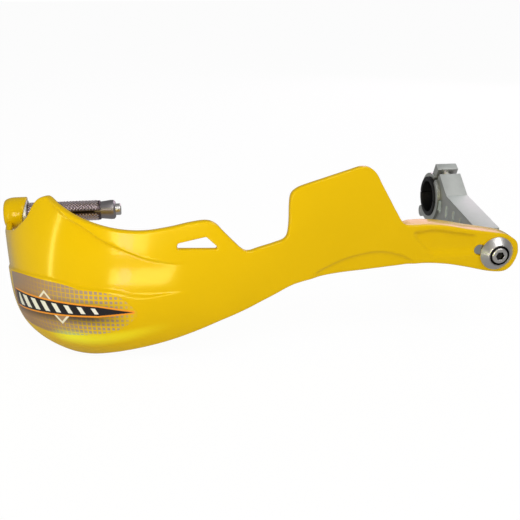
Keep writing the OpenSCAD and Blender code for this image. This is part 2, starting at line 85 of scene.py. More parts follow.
# stations of the outline: s and z on the upper edge, s and z on the lower edge
STATIONS = np.array([
    [0, -9, 0, -11], [1.2, -4, 1.2, -15.5], [4.5, -0.8, 4, -20.2], [10, 2, 9, -22.8],
    [20, 3.9, 19, -22], [34, 6.3, 33, -18.6], [48, 9.2, 46, -15.9], [60, 10.6, 59, -14.5],
    [70, 10.7, 69, -14.6], [76, 12, 75, -15.1], [81, 0.4*WING_H, 80, -15.5],
    [86, 0.58*WING_H, 85, -15.8], [91, 0.76*WING_H, 89, -16.1], [95, 0.905*WING_H, 93, -16.3],
    [99.5, WING_H - 0.8, 98, -16.6], [104.5, WING_H, 103, -16.8], [113, WING_H - 2.2, 111, -17],
    [127, WING_H - 6, 122, -17.6], [139, WING_H - 9.3, 132, -18.8], [143.5, WING_H - 11.2, 138, -19.7],
    [146.5, WING_H - 14.2, 142, -20.5], [147.5, 0.58*WING_H, 145, -21.2],
    [148, 0.33*WING_H, 148, -22.3], [150, 8.6, 151, -23.6], [157, 6, 157, -26.4],
    [166, 4, 166, -30.3], [172, 2.6, 172, -33], [176, 3.8, 177, -35.1], [181, 8.6, 183, -37.5],
    [187, 14.8, 189, -39.8], [191.5, 19.5, 194, -41.9], [197, 21.3, 199, -44.1],
    [206, 20.4, 208, 17.4 - SKIRT_D], [218, 18.1, 219, 13.3 - SKIRT_D], [232, 16.5, 232, 9.3 - SKIRT_D],
    [246, 17.2, 246, 5.7 - SKIRT_D], [260, PEAK_H - 12.2, 260, 2.5 - SKIRT_D],
    [275, PEAK_H - 8, 274, 0.1 - SKIRT_D], [288, PEAK_H - 3.2, 286, 0.2 - SKIRT_D],
    [297, PEAK_H, 297, 2.8 - SKIRT_D], [303, PEAK_H - 0.1, 306, 5.6 - SKIRT_D],
    [308.5, PEAK_H - 2.6, 315, 8.9 - SKIRT_D], [312.5, PEAK_H - 7.4, 323, 12.2 - SKIRT_D],
    [316, 18.6, 331, 16.7 - SKIRT_D], [323, 13, 341, -40], [332, 7.6, 352, -29.5],
    [350, 2, 364, -20], [367, -2.4, 375, -15], [384, -3, 384, -12.4]])
# lines on the sheet, as s and z; the pocket's side is z and s
HOLLOW_TOP = [[214, -2.2], [221, -1.4], [231, 0.6], [240, 4], [249, 7.8], [259, 12.4],
              [269, 18.3], [283, 24], [300, 33], [340, 45]]
HOLLOW_FOOT = [[214, -19.6], [221, -20.2], [232, -21.2], [241, -20.5], [250, -18.2],
               [260, -17.1], [272, -16.3], [284, -14], [303, -13.7], [332, -17.2], [372, -28]]
ARC_LINE = [[69, -12], [74, -9.5], [84, -6.5], [94, -5.3], [110, -7.6], [122, -11.5], [135, -17.3]]
POCKET_TOP = [[26, 2], [40, 4.7], [56, 7.1], [63, 6.6], [70, 6.2]]
POCKET_SIDE = [[-9.2, 56], [-5, 61], [1.2, 67], [6.2, 70]]
WINDOW = [[214.6, 5.9], [213.6, 9], [197.3, 12.2], [189.6, 5]]
FILM_EDGE = [[332, -18.4], [318, -15.6], [303, -14.8], [284, -15.2], [272, -17.4], [260, -18.3],
             [250, -20.6], [243, -26], [239, -32], [243, -37.3], [253, -43.5], [276, -48.1],
             [299, -49.9], [320, -49.0], [327, -47.5], [331, -40], [332.5, -30]]


# ---------------------------------------------------------------- curves
def ramp(x, a, b):
    """Smooth step from 0 at a to 1 at b."""
    t = np.clip((np.asarray(x, float) - a)/(b - a), 0, 1)
    return t*t*t*(t*(t*6 - 15) + 10)


def through(points, steps):
    """Smooth open curve through the points, every piece cut into the same number of steps."""
    p = np.array(points, float)
    p = np.vstack([p[0], p, p[-1]])
    out = []
    for i in range(1, len(p) - 2):
        a, b, c, d = p[i - 1], p[i], p[i + 1], p[i + 2]
        t = (np.arange(steps)/steps)[:, None]
        out.append(0.5*(2*b + (c - a)*t + (2*a - 5*b + 4*c - d)*t*t + (3*b - a - 3*c + d)*t**3))
    return np.vstack(out + [p[-2][None]])


def span(x, start, rise, end, fall):
    """1 inside start and end, fading to 0 over the rise and the fall."""
    return np.clip((x - start)/rise, 0, 1)*np.clip((end - x)/fall, 0, 1)


def on_line(x, line):
    """Second coordinate of the line at x."""
    return np.interp(x, line[:, 0], line[:, 1])


HOLLOW_TOP, HOLLOW_FOOT, ARC_LINE, POCKET_TOP, POCKET_SIDE = (
    through(line, 8) for line in (HOLLOW_TOP, HOLLOW_FOOT, ARC_LINE, POCKET_TOP, POCKET_SIDE))


def heading(s):
    """Turn of the sheet in plan, in degrees: bowed along the bar, then round to the bar's end."""
    return (60*ramp(s, 205, 370) + 22*ramp(s, 295, 370)
            - BOW*(ramp(s, 60, 140) - ramp(s, 160, 205)))


def summed(rate):
    """Running integral of a rate along the guide curve."""
    return np.concatenate([[0], np.cumsum((rate[1:] + rate[:-1])*GUIDE_STEP/2)])


GUIDE_S = np.arange(0, 420.01, GUIDE_STEP)
RUN = summed(np.cos(np.radians(heading(GUIDE_S))))
RISE = summed(np.sin(np.radians(heading(GUIDE_S))))
RUN_SCALE = (SPAN + INBOARD)/np.interp(S_BAR, GUIDE_S, RUN)
GUIDE_X = INBOARD - RUN*RUN_SCALE
GUIDE_Y = -REACH + RISE*REACH/np.interp(S_BAR, GUIDE_S, RISE)


# ---------------------------------------------------------------- the shell's surface
def set_back(s, z):
    """How far the sheet leans back above its belt line and tucks in below it."""
    belt = -8 - 14*ramp(s, 80, 240) + 14*ramp(s, 280, 380)
    lean = LEAN*ramp(s, 80, 260)*(1 - ramp(s, 320, 388))
    tuck = TUCK*ramp(s, 90, 215)*(1 - ramp(s, 270, 388))
    d = z - belt
    return np.where(d > 0, lean*(d/50)**2, tuck*np.abs(d/40)**3)


def crease(distance, width):
    """Cross-section of a fine groove: 1 on its line, fading over the width."""
    return np.exp(-(distance/width)**2)


def reliefs(s, z):
    """Pressed hollow, arched step and pocket by the slot, with a fine crease along each line."""
    hollow = (HOLLOW_D*ramp(s, 202, 240)*(1 - ramp(s, 335, 372))
              * ramp(on_line(s, HOLLOW_TOP) - z, -0.7, 1.1)
              * ramp(z - on_line(s, HOLLOW_FOOT), -0.8, 0.9))
    arc = (ARC_D*ramp(s, 66, 74)*(1 - ramp(s, 126, 136))
           * ramp(on_line(s, ARC_LINE) - z, -0.7, 1.6))
    side = on_line(z, POCKET_SIDE)
    pocket = (POCKET_D*ramp(s, 27, 34)*(1 - ramp(s, side - 2, side + 0.6))
              * ramp(on_line(s, POCKET_TOP) - z, -0.4, 1.8)*ramp(z, -12, -4))
    creases = (0.42*span(s, 216, 12, 318, 25)*crease(z - on_line(s, HOLLOW_TOP) - 0.1, 0.55)
               + 0.3*span(s, 216, 12, 285, 20)*crease(z - on_line(s, HOLLOW_FOOT) + 0.1, 0.6)
               + 0.5*span(s, 71, 6, 134, 6)*crease(z - on_line(s, ARC_LINE), 0.6)
               + 0.4*span(z, -9, 5, 5.6, 2)*crease(s - side, 0.8)
               + 0.4*span(s, 44, 8, 70, 2)*crease(z - on_line(s, POCKET_TOP), 0.5))
    return hollow + arc + pocket + creases


def shell_at(s, z, depth):
    """Points of the sheet, in mm."""
    s, z = np.asarray(s, float), np.asarray(z, float)
    a = np.radians(heading(s))
    back = set_back(s, z) + reliefs(s, z) + depth
    x = np.interp(s, GUIDE_S, GUIDE_X) + back*np.sin(a)
    y = np.interp(s, GUIDE_S, GUIDE_Y) + back*np.cos(a)
    return np.stack([x, y, z + 0*s], -1)


# ---------------------------------------------------------------- mesh helpers
def shade(ob, smooth_angle):
    """Smooth shading, sharp along edges steeper than the angle."""
    ob.data.shade_smooth()
    ob.data.set_sharp_from_angle(angle=math.radians(smooth_angle))


def mesh_object(name, verts_mm, faces, materials, smooth_angle=40):
    """Object of the points (mm) and faces, smooth up to the angle."""
    me = bpy.data.meshes.new(name)
    verts = [tuple(v) for v in np.asarray(verts_mm, float)*MM]
    me.from_pydata(verts, [], [tuple(int(i) for i in f) for f in faces])
    me.validate()
    ob = bpy.data.objects.new(name, me)
    bpy.context.collection.objects.link(ob)
    for m in materials:
        me.materials.append(m)
    shade(ob, smooth_angle)
    return ob


def join_into(ob, other):
    """Makes the other object's mesh part of the first."""
    with bpy.context.temp_override(active_object=ob, object=ob, selected_objects=[ob, other],
                                   selected_editable_objects=[ob, other]):
        bpy.ops.object.join()


def finish_mesh(ob, edit, smooth_angle=40):
    """Runs edit(bm) on the object's mesh, then shades it smooth up to the angle."""
    bm = bmesh.new()
    bm.from_mesh(ob.data)
    edit(bm)
    bm.to_mesh(ob.data)
    bm.free()
    shade(ob, smooth_angle)


def apply_modifiers(ob):
    """Turns the object's evaluated result into its plain mesh."""
    deps = bpy.context.evaluated_depsgraph_get()
    me = bpy.data.meshes.new_from_object(ob.evaluated_get(deps), preserve_all_data_layers=True,
                                         depsgraph=deps)
    ob.modifiers.clear()
    old = ob.data
    ob.data = me
    bpy.data.meshes.remove(old)


def inside(points, loop):
    """Which points lie inside the closed loop."""
    x, y = points[:, 0], points[:, 1]
    hit = np.zeros(len(points), bool)
    for (x0, y0), (x1, y1) in zip(loop, np.roll(loop, -1, 0)):
        if y0 == y1:
            continue
        cross = ((y0 > y) != (y1 > y)) & (x < (x1 - x0)*(y - y0)/(y1 - y0) + x0)
        hit ^= cross
    return hit


def distance_to(points, line, closed=False):
    """Least distance from each point to the line."""
    a = line if closed else line[:-1]
    b = np.roll(line, -1, 0) if closed else line[1:]
    best = np.full(len(points), 1e9)
    for p, q in zip(a, b):
        d = q - p
        n = max(float(d @ d), 1e-9)
        t = np.clip(((points - p) @ d)/n, 0, 1)
        best = np.minimum(best, np.hypot(*(points - p - t[:, None]*d).T))
    return best


def respaced(line, step, closed):
    """The line with its points spread evenly, about a step apart."""
    pts = np.vstack([line, line[:1]]) if closed else line
    seg = np.hypot(*np.diff(pts, axis=0).T)
    at = np.concatenate([[0], np.cumsum(seg)])
    n = max(3, int(round(at[-1]/step)))
    u = np.linspace(0, at[-1], n + 1)
    out = np.stack([np.interp(u, at, pts[:, k]) for k in (0, 1)], -1)
    return out[:-1] if closed else out


def area2(loop):
    """Twice the loop's signed area."""
    x, y = loop.T
    return float(np.sum(x*np.roll(y, -1) - np.roll(x, -1)*y))


def inward(loop, amount):
    """Loop moved to its left by the amount."""
    ahead = np.roll(loop, -1, 0) - np.roll(loop, 1, 0)
    n = np.stack([-ahead[:, 1], ahead[:, 0]], -1)
    return loop + amount*n/np.maximum(np.hypot(*n.T), 1e-9)[:, None]


def rounded(corners, radius, n=8):
    """Closed polygon with its corners rounded."""
    c = np.array(corners, float)
    out = []
    for i in range(len(c)):
        p, a, b = c[i], c[i - 1], c[(i + 1) % len(c)]
        u, v = (a - p)/np.linalg.norm(a - p), (b - p)/np.linalg.norm(b - p)
        half = math.acos(float(np.clip(u @ v, -1, 1)))/2
        mid = (u + v)/np.linalg.norm(u + v)
        centre = p + mid*radius/math.sin(half)
        s, e = p + u*radius/math.tan(half) - centre, p + v*radius/math.tan(half) - centre
        a0, a1 = math.atan2(s[1], s[0]), math.atan2(e[1], e[0])
        turn = (a1 - a0 + math.pi) % (2*math.pi) - math.pi
        for k in range(n + 1):
            t = a0 + turn*k/n
            out.append(centre + radius*np.array([math.cos(t), math.sin(t)]))
    return np.array(out)


def triangulated(loops, loose):
    """Triangles over the area between the first loop and the others, with the loose points in it."""
    verts, edges = [], []
    for loop in loops:
        k = len(verts)
        verts += [Vector(p) for p in loop]
        edges += [(k + i, k + (i + 1) % len(loop)) for i in range(len(loop))]
    verts += [Vector(p) for p in loose]
    out, _, tris, source, _, _ = delaunay_2d_cdt(verts, edges, [], 0, 1e-5)
    pts = np.array([[v.x, v.y] for v in out])
    tris = np.array([t for t in tris if len(t) == 3])
    mid = pts[tris].mean(1)
    keep = inside(mid, loops[0])
    for hole in loops[1:]:
        keep &= ~inside(mid, hole)
    where = {}
    for i, src in enumerate(source):
        for j in src:
            where[j] = i
    return pts, tris[keep], where


# ---------------------------------------------------------------- the shell's mesh
def outline_loop():
    """Outline of the sheet: along its lower edge and back along the upper one."""
    q = through(STATIONS, 10)
    top, foot = q[:, :2], q[:, 2:]
    return respaced(np.vstack([foot, top[::-1]]), 1.0, True)


def slot_loop():
    """Adjusting slot as the part cuts it across the flat inboard end."""
    r = SLOT_W/2
    a = np.radians(np.linspace(-90, 90, 13))
    ends = np.vstack([np.stack([SLOT_INBOARD + r*np.cos(a), r*np.sin(a)], -1),
                      np.stack([-SLOT_TRAVEL - r*np.cos(a), -r*np.sin(a)], -1)])
    c, s = math.cos(math.radians(SLOT_TILT)), math.sin(math.radians(SLOT_TILT))
    x = ends[:, 0]*c - ends[:, 1]*s + ARM_SCREW_X
    z = ends[:, 0]*s + ends[:, 1]*c - ARM_SCREW_Z
    return respaced(np.stack([(INBOARD - x)/RUN_SCALE, z], -1), 0.8, True)


def film_loop():
    """Outline of the printed film."""
    return through(FILM_EDGE + FILM_EDGE[:1], 6)[:-1]


def offsets(line, amounts):
    """Copies of the open line, each moved to its left by an amount."""
    d = np.gradient(line, axis=0)
    n = np.stack([-d[:, 1], d[:, 0]], -1)/np.hypot(*d.T)[:, None]
    return [line + a*n for a in amounts]


def interior(loops, step, creases, clear):
    """Loose points for the area between the loops: an even grid, and closer rows along the creases."""
    lo, hi = loops[0].min(0), loops[0].max(0)
    row = np.arange(lo[0], hi[0], step)
    heights = np.arange(lo[1], hi[1], step*math.sqrt(3)/2)
    pts = np.vstack([np.stack([row + (i % 2)*step/2, np.full(len(row), z)], -1)
                     for i, z in enumerate(heights)])

    def within(points, clearance):
        points = points[inside(points, loops[0])]
        for hole in loops[1:]:
            points = points[~inside(points, hole)]
        for loop in loops:
            points = points[distance_to(points, loop, True) > clearance]
        return points

    pts = within(pts, clear)
    rows = []
    for line, amounts in creases:
        line = respaced(line, step, False)
        pts = pts[distance_to(pts, line) > max(abs(a) for a in amounts) + 0.35*step]
        rows += [within(o, clear*0.7) for o in offsets(line, amounts)]
    return np.vstack([pts] + rows)


def oriented(loop, ccw):
    """The loop, turned to run anticlockwise or clockwise."""
    return loop if (area2(loop) > 0) == ccw else loop[::-1]


def build_shell(materials):
    """Sheet with its slot and window, front and back faces joined by rounded edges."""
    loops = [oriented(outline_loop(), True)]
    loops += [oriented(hole, False) for hole in (respaced(rounded(WINDOW, 1.0), 0.6, True), slot_loop())]
    arcs = np.radians(np.linspace(0, 90, 5))
    outer = [(RIM*(1 - math.sin(t)), RIM*(1 - math.cos(t))) for t in arcs]
    inner = [(inset, WALL - depth) for inset, depth in outer[::-1]]
    cut = [inward(loop, RIM) for loop in loops]
    near = (-0.9, -0.45, 0.0, 0.45, 0.9)
    creases = [(HOLLOW_TOP[HOLLOW_TOP[:, 0] < 320], near),
               (HOLLOW_FOOT[HOLLOW_FOOT[:, 0] < 355], near),
               (ARC_LINE, near), (POCKET_TOP, near),
               (POCKET_SIDE[:, ::-1], (-1.2, -0.6, 0.0, 0.6))]
    pts, tris, where = triangulated(cut, interior(cut, GRID, creases, 0.55*GRID))
    n = len(pts)
    verts = [shell_at(pts[:, 0], pts[:, 1], 0), shell_at(pts[:, 0], pts[:, 1], WALL)]
    # s runs against x, so the triangles of the front face are turned round
    faces = [t[[0, 2, 1]] for t in tris] + [t + n for t in tris]
    start = 2*n
    first = 0
    for loop in loops:
        m = len(loop)
        face_ids = np.array([where[first + i] for i in range(m)])
        first += m
        rings = [face_ids]
        for inset, depth in outer[1:] + inner[:-1]:
            p = inward(loop, inset)
            verts.append(shell_at(p[:, 0], p[:, 1], depth))
            rings.append(np.arange(start, start + m))
            start += m
        rings.append(face_ids + n)
        for a, b in zip(rings, rings[1:]):
            for i in range(m):
                j = (i + 1) % m
                faces.append([a[i], a[j], b[j], b[i]])
    verts = np.vstack(verts)
    verts[:, 2] = np.minimum(verts[:, 2], WING_H)
    return mesh_object("guard_shell", verts, faces, materials, 50)


def swept(profile_at, stations):
    """Closed skin over profiles, each a list of points in mm, with capped ends."""
    rings = [np.asarray(profile_at(s), float) for s in stations]
    k = len(rings[0])
    verts = np.vstack(rings)
    faces = []
    for i in range(len(rings) - 1):
        for j in range(k):
            a, b = i*k + j, i*k + (j + 1) % k
            faces.append([a, b, b + k, a + k])
    faces.append(list(range(k))[::-1])
    faces.append([len(verts) - k + j for j in range(k)])
    return verts, faces


def flange_parts():
    """Stiffening flange behind the inboard top edge, with a rounded rear lip."""
    share = through([[4, 0.4], [7, 0.6], [12, 0.8], [20, 0.95], [34, 1], [48, 1], [60, 1],
                     [70, 1], [82, 0.8], [96, 0.15]], 8)
    top = through(STATIONS[:, :2], 10)
    drop = through([[4, 0.0], [60, 0.0], [72, 0.6], [78, 4.2], [82, 10.2], [90, 28], [96, 37]], 8)

    def profile(s):
        """Section from just inside the sheet, out over the rounded lip and back."""
        z = on_line(s, top) - 0.03 - on_line(s, drop)
        d = FLANGE_D*on_line(s, share) + 2
        r = min(1.1, d/4)
        a = np.radians(np.linspace(90, -90, 9))
        arc = [(d - r + r*math.cos(t), (0 if t > 0 else 2*r - FLANGE_T) - r + r*math.sin(t)) for t in a]
        line = [(1.3, 0.0)] + arc + [(1.3, -FLANGE_T)]
        p = shell_at(np.full(len(line), s), np.full(len(line), z), 0)
        p[:, 1:] += line
        return p

    return swept(profile, np.linspace(4.2, 88, 120))


def lathe(profile, axis, origin, turns=96):
    """Turned skin of a closed profile, given as (radius, distance) along the axis direction."""
    axis = Vector(axis).normalized()
    side = axis.orthogonal().normalized()
    up = axis.cross(side)
    verts, faces = [], []
    for r, d in profile:
        centre = Vector(origin) + axis*d
        for k in range(turns):
            t = 2*math.pi*k/turns
            verts.append(centre + r*(side*math.cos(t) + up*math.sin(t)))
    for i in range(len(profile)):
        a, b = i*turns, (i + 1) % len(profile)*turns
        for k in range(turns):
            j = (k + 1) % turns
            faces.append([a + k, b + k, b + j, a + j])
    return np.array([tuple(v) for v in verts]), faces


def boss_parts():
    """Domed bar-end boss with its counterbore, turned round the bar's axis."""
    lip, rim, chamfer = 0.5, 1.2, 0.4
    quarter = np.radians([30, 60, 90])
    dome = [(BOSS_R - BOSS_ROUND + BOSS_ROUND*math.sin(t), BOSS_DOME*(1 - math.cos(t)))
            for t in np.radians(np.linspace(0, 90, 13))]
    profile = ([(CBORE_R, CBORE_D), (CBORE_R, lip)]
               + [(CBORE_R + lip*(1 - math.cos(t)), lip*(1 - math.sin(t))) for t in quarter]
               + dome[1:] + [(BOSS_R, BOSS_T - rim)]
               + [(BOSS_R - rim*(1 - math.cos(t)), BOSS_T - rim*(1 - math.sin(t))) for t in quarter]
               + [(BORE_R + chamfer, BOSS_T), (BORE_R, BOSS_T - chamfer), (BORE_R, CBORE_D)])
    return lathe(profile, (1, 0, 0), (-SPAN, 0, 0))


def hood_parts():
    """Half ring of the boss over the collar, longest at the top."""
    x0, r0 = -SPAN + BOSS_T, COLLAR_R + 0.3

    def profile(a):
        out = x0 + HOOD_L*math.sin(a)
        e = min(0.7, 0.35*(out - x0) + 0.02)
        section = [(r0, x0 - 2), (r0, out - 0.3*e), (r0 + 0.3*e, out), (BOSS_R - e, out),
                   (BOSS_R - 0.3*e, out - 0.3*e), (BOSS_R, out - e), (BOSS_R, x0 - 2)]
        return [(x, r*math.cos(a), r*math.sin(a)) for r, x in section]

    return swept(profile, np.radians(np.linspace(1, 179, 60)))


def joined(name, parts, materials):
    """One object of several skins, each given as its points and faces."""
    verts, faces, k = [], [], 0
    for v, f in parts:
        verts.append(v)
        faces += [[i + k for i in face] for face in f]
        k += len(v)
    return mesh_object(name, np.vstack(verts), faces, materials)


def outward(ob):
    """Turns every closed skin of the object to face outwards."""
    finish_mesh(ob, lambda bm: bmesh.ops.recalc_face_normals(bm, faces=bm.faces))


def from_node(node, name, rounding):
    """Copy of a CAD node with merged points, flat faces rejoined and its edges rounded (mm)."""
    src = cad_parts[node]
    ob = bpy.data.objects.new(name, src.data.copy())
    bpy.context.collection.objects.link(ob)
    ob.data.materials.clear()

    def edit(bm):
        bmesh.ops.remove_doubles(bm, verts=bm.verts, dist=1e-6)
        bmesh.ops.dissolve_limit(bm, angle_limit=math.radians(1.0), verts=bm.verts, edges=bm.edges)

    finish_mesh(ob, edit, 35)
    m = ob.modifiers.new("edge_round", "BEVEL")
    m.width = rounding*MM
    m.segments = 3
    m.limit_method = "ANGLE"
    m.angle_limit = math.radians(28)
    m.use_clamp_overlap = True
    m.miter_outer = "MITER_ARC"
    apply_modifiers(ob)
    shade(ob, 35)
    return ob


# ---------------------------------------------------------------- materials
def new_material(name):
    """Material with a bare Principled shader, as material, node tree and shader."""
    m = bpy.data.materials.new(name)
    m.use_nodes = True
    nt = m.node_tree
    nt.nodes.clear()
    out = nt.nodes.new("ShaderNodeOutputMaterial")
    bsdf = nt.nodes.new("ShaderNodeBsdfPrincipled")
    nt.links.new(bsdf.outputs[0], out.inputs[0])
    return m, nt, bsdf


def calculator(tree):
    """Function that adds a maths node to the tree, fed by numbers and sockets, and gives its result."""
    def calc(op, *values, clamp=False):
        node = tree.nodes.new("ShaderNodeMath")
        node.operation = op
        node.use_clamp = clamp
        for socket, value in zip(node.inputs, values):
            if isinstance(value, (int, float)):
                socket.default_value = value
            else:
                tree.links.new(value, socket)
        return node.outputs[0]
    return calc


def slope(calc, x, at0, at1):
    """0 where x is at0, 1 where it is at1, clamped."""
    return calc("MULTIPLY", calc("SUBTRACT", x, at0), 1/(at1 - at0), clamp=True)


def times(calc, *values):
    """Product of all the values."""
    out = values[0]
    for value in values[1:]:
        out = calc("MULTIPLY", out, value)
    return out


def blended(tree, share, below, above):
    """Colour that goes from below to above with the share; each is a colour or a socket."""
    mix = tree.nodes.new("ShaderNodeMix")
    mix.data_type = "RGBA"
    tree.links.new(share, mix.inputs["Factor"])
    for name, value in (("A", below), ("B", above)):
        if isinstance(value, tuple):
            mix.inputs[name].default_value = (*value, 1)
        else:
            tree.links.new(value, mix.inputs[name])
    return mix.outputs["Result"]


def surface_grain_group():
    """Fine unevenness shared by the finishes: a varying roughness, a height for the bump, and a tone."""
    g = bpy.data.node_groups.new("surface_grain", "ShaderNodeTree")
    for name, default in (("Grain size", 0.0006), ("Blotch size", 0.02),
                          ("Roughness", 0.3), ("Roughness spread", 0.1), ("Stretch", 1.0)):
        s = g.interface.new_socket(name=name, in_out="INPUT", socket_type="NodeSocketFloat")
        s.default_value = default
    for name in ("Roughness", "Height", "Tone"):
        g.interface.new_socket(name=name, in_out="OUTPUT", socket_type="NodeSocketFloat")
    n, l = g.nodes, g.links
    calc = calculator(g)
    given, made = n.new("NodeGroupInput").outputs, n.new("NodeGroupOutput").inputs
    stretch = n.new("ShaderNodeCombineXYZ")
    l.new(given["Stretch"], stretch.inputs[0])
    stretch.inputs[1].default_value = 1
    stretch.inputs[2].default_value = 1
    stretched = n.new("ShaderNodeVectorMath")
    stretched.operation = "MULTIPLY"
    l.new(n.new("ShaderNodeTexCoord").outputs["Object"], stretched.inputs[0])
    l.new(stretch.outputs[0], stretched.inputs[1])

    def noise(size, detail):
        t = n.new("ShaderNodeTexNoise")
        t.inputs["Detail"].default_value = detail
        l.new(stretched.outputs[0], t.inputs["Vector"])
        l.new(calc("DIVIDE", 1.0, given[size]), t.inputs["Scale"])
        return t.outputs[0]

    grain, blotch = noise("Grain size", 2.0), noise("Blotch size", 3.0)
    rough = calc("MULTIPLY_ADD", calc("SUBTRACT", blotch, 0.5), given["Roughness spread"],
                 given["Roughness"])
    l.new(rough, made["Roughness"])
    l.new(grain, made["Height"])
    l.new(blotch, made["Tone"])
    return g


GRAIN = surface_grain_group()


def grained(nt, bsdf, grain, blotch, rough, spread, bump, height, stretch=1.0, tone=None):
    """Gives the shader the shared grain: its roughness, its bump and, where tones are given, its colour."""
    g = nt.nodes.new("ShaderNodeGroup")
    g.node_tree = GRAIN
    for k, v in (("Grain size", grain), ("Blotch size", blotch), ("Roughness", rough),
                 ("Roughness spread", spread), ("Stretch", stretch)):
        g.inputs[k].default_value = v
    nt.links.new(g.outputs["Roughness"], bsdf.inputs["Roughness"])
    b = nt.nodes.new("ShaderNodeBump")
    b.inputs["Strength"].default_value = bump
    b.inputs["Distance"].default_value = height
    nt.links.new(g.outputs["Height"], b.inputs["Height"])
    nt.links.new(b.outputs[0], bsdf.inputs["Normal"])
    if tone:
        nt.links.new(blended(nt, g.outputs["Tone"], *tone), bsdf.inputs["Base Color"])


def yellow_plastic():
    """Glossy moulded yellow with a thin coat."""
    m, nt, b = new_material("moulded_yellow")
    grained(nt, b, grain=0.0012, blotch=0.03, rough=0.17, spread=0.06, bump=0.06, height=0.00003,
            tone=((0.70, 0.445, 0.0), (0.745, 0.472, 0.0)))
    b.inputs["Specular IOR Level"].default_value = 0.35
    b.inputs["Specular Tint"].default_value = (1.0, 0.86, 0.35, 1)
    b.inputs["Coat Weight"].default_value = 0.15
    b.inputs["Coat Roughness"].default_value = 0.06
    return m


def black_nylon():
    """Dull black of the reducer's halves."""
    m, nt, b = new_material("black_nylon")
    grained(nt, b, grain=0.0005, blotch=0.008, rough=0.45, spread=0.15, bump=0.4, height=0.00005,
            tone=((0.004, 0.004, 0.005), (0.011, 0.011, 0.012)))
    b.inputs["Specular IOR Level"].default_value = 0.25
    return m


def metal(name, tone, rough, spread, grain, bump, height, stretch=1.0, metallic=1.0):
    """Alloy or steel whose colour wanders between two tones."""
    m, nt, b = new_material(name)
    b.inputs["Metallic"].default_value = metallic
    grained(nt, b, grain=grain, blotch=0.006, rough=rough, spread=spread, bump=bump, height=height,
            stretch=stretch, tone=tone)
    return m


YELLOW = yellow_plastic()
CAST = metal("cast_alloy", ((0.62, 0.64, 0.61), (0.74, 0.76, 0.74)), 0.48, 0.16, 0.0005, 0.5, 0.00006)
# darker copy of the cast alloy: painted shade on the saddle's side, where it stands wider than the beam
SADDLE_PAINTED_SHADE = metal("cast_painted_shade", ((0.26, 0.27, 0.25), (0.36, 0.37, 0.35)), 0.5, 0.16, 0.0005, 0.5, 0.00006)
# light, barely metallic copy of the cast alloy: painted light on the walls of the arm's pockets
POCKET_PAINTED_LIGHT = metal("pocket_painted_light", ((0.60, 0.67, 0.68), (0.70, 0.77, 0.78)), 0.6, 0.16, 0.0005, 0.5, 0.00006,
               metallic=0.15)
STEEL = metal("turned_steel", ((0.72, 0.70, 0.68), (0.86, 0.84, 0.82)), 0.34, 0.12, 0.0003, 0.2, 0.00002,
              stretch=4.0)
KNURLED = metal("turned_alloy", ((0.33, 0.31, 0.32), (0.50, 0.47, 0.49)), 0.42, 0.2, 0.0004, 0.3, 0.00003)
# pale, pinkish alloy for the knurl's crests: a painted highlight, with the lamps' pink in it
CREST_PAINTED_LIGHT = metal("knurl_crest_painted_light", ((0.80, 0.68, 0.72), (0.92, 0.82, 0.84)), 0.28, 0.15, 0.0004, 0.3, 0.00002)
# near black for the sleeve under the knurl: painted shade in the grooves between the crests
ROOT_PAINTED_SHADE = metal("knurl_root_painted_shade", ((0.10, 0.07, 0.08), (0.18, 0.14, 0.15)), 0.4, 0.2, 0.0004, 0.3, 0.00003)
# near black: painted shade in the screw heads' sockets, round the arm bolt's head, and on the plug's bolt
# and wedge inside the sleeve
RECESS_PAINTED_SHADE = metal("recess_painted_shade", ((0.03, 0.03, 0.03), (0.08, 0.075, 0.07)), 0.45, 0.2, 0.0004, 0.3, 0.00002)
DARK = black_nylon()


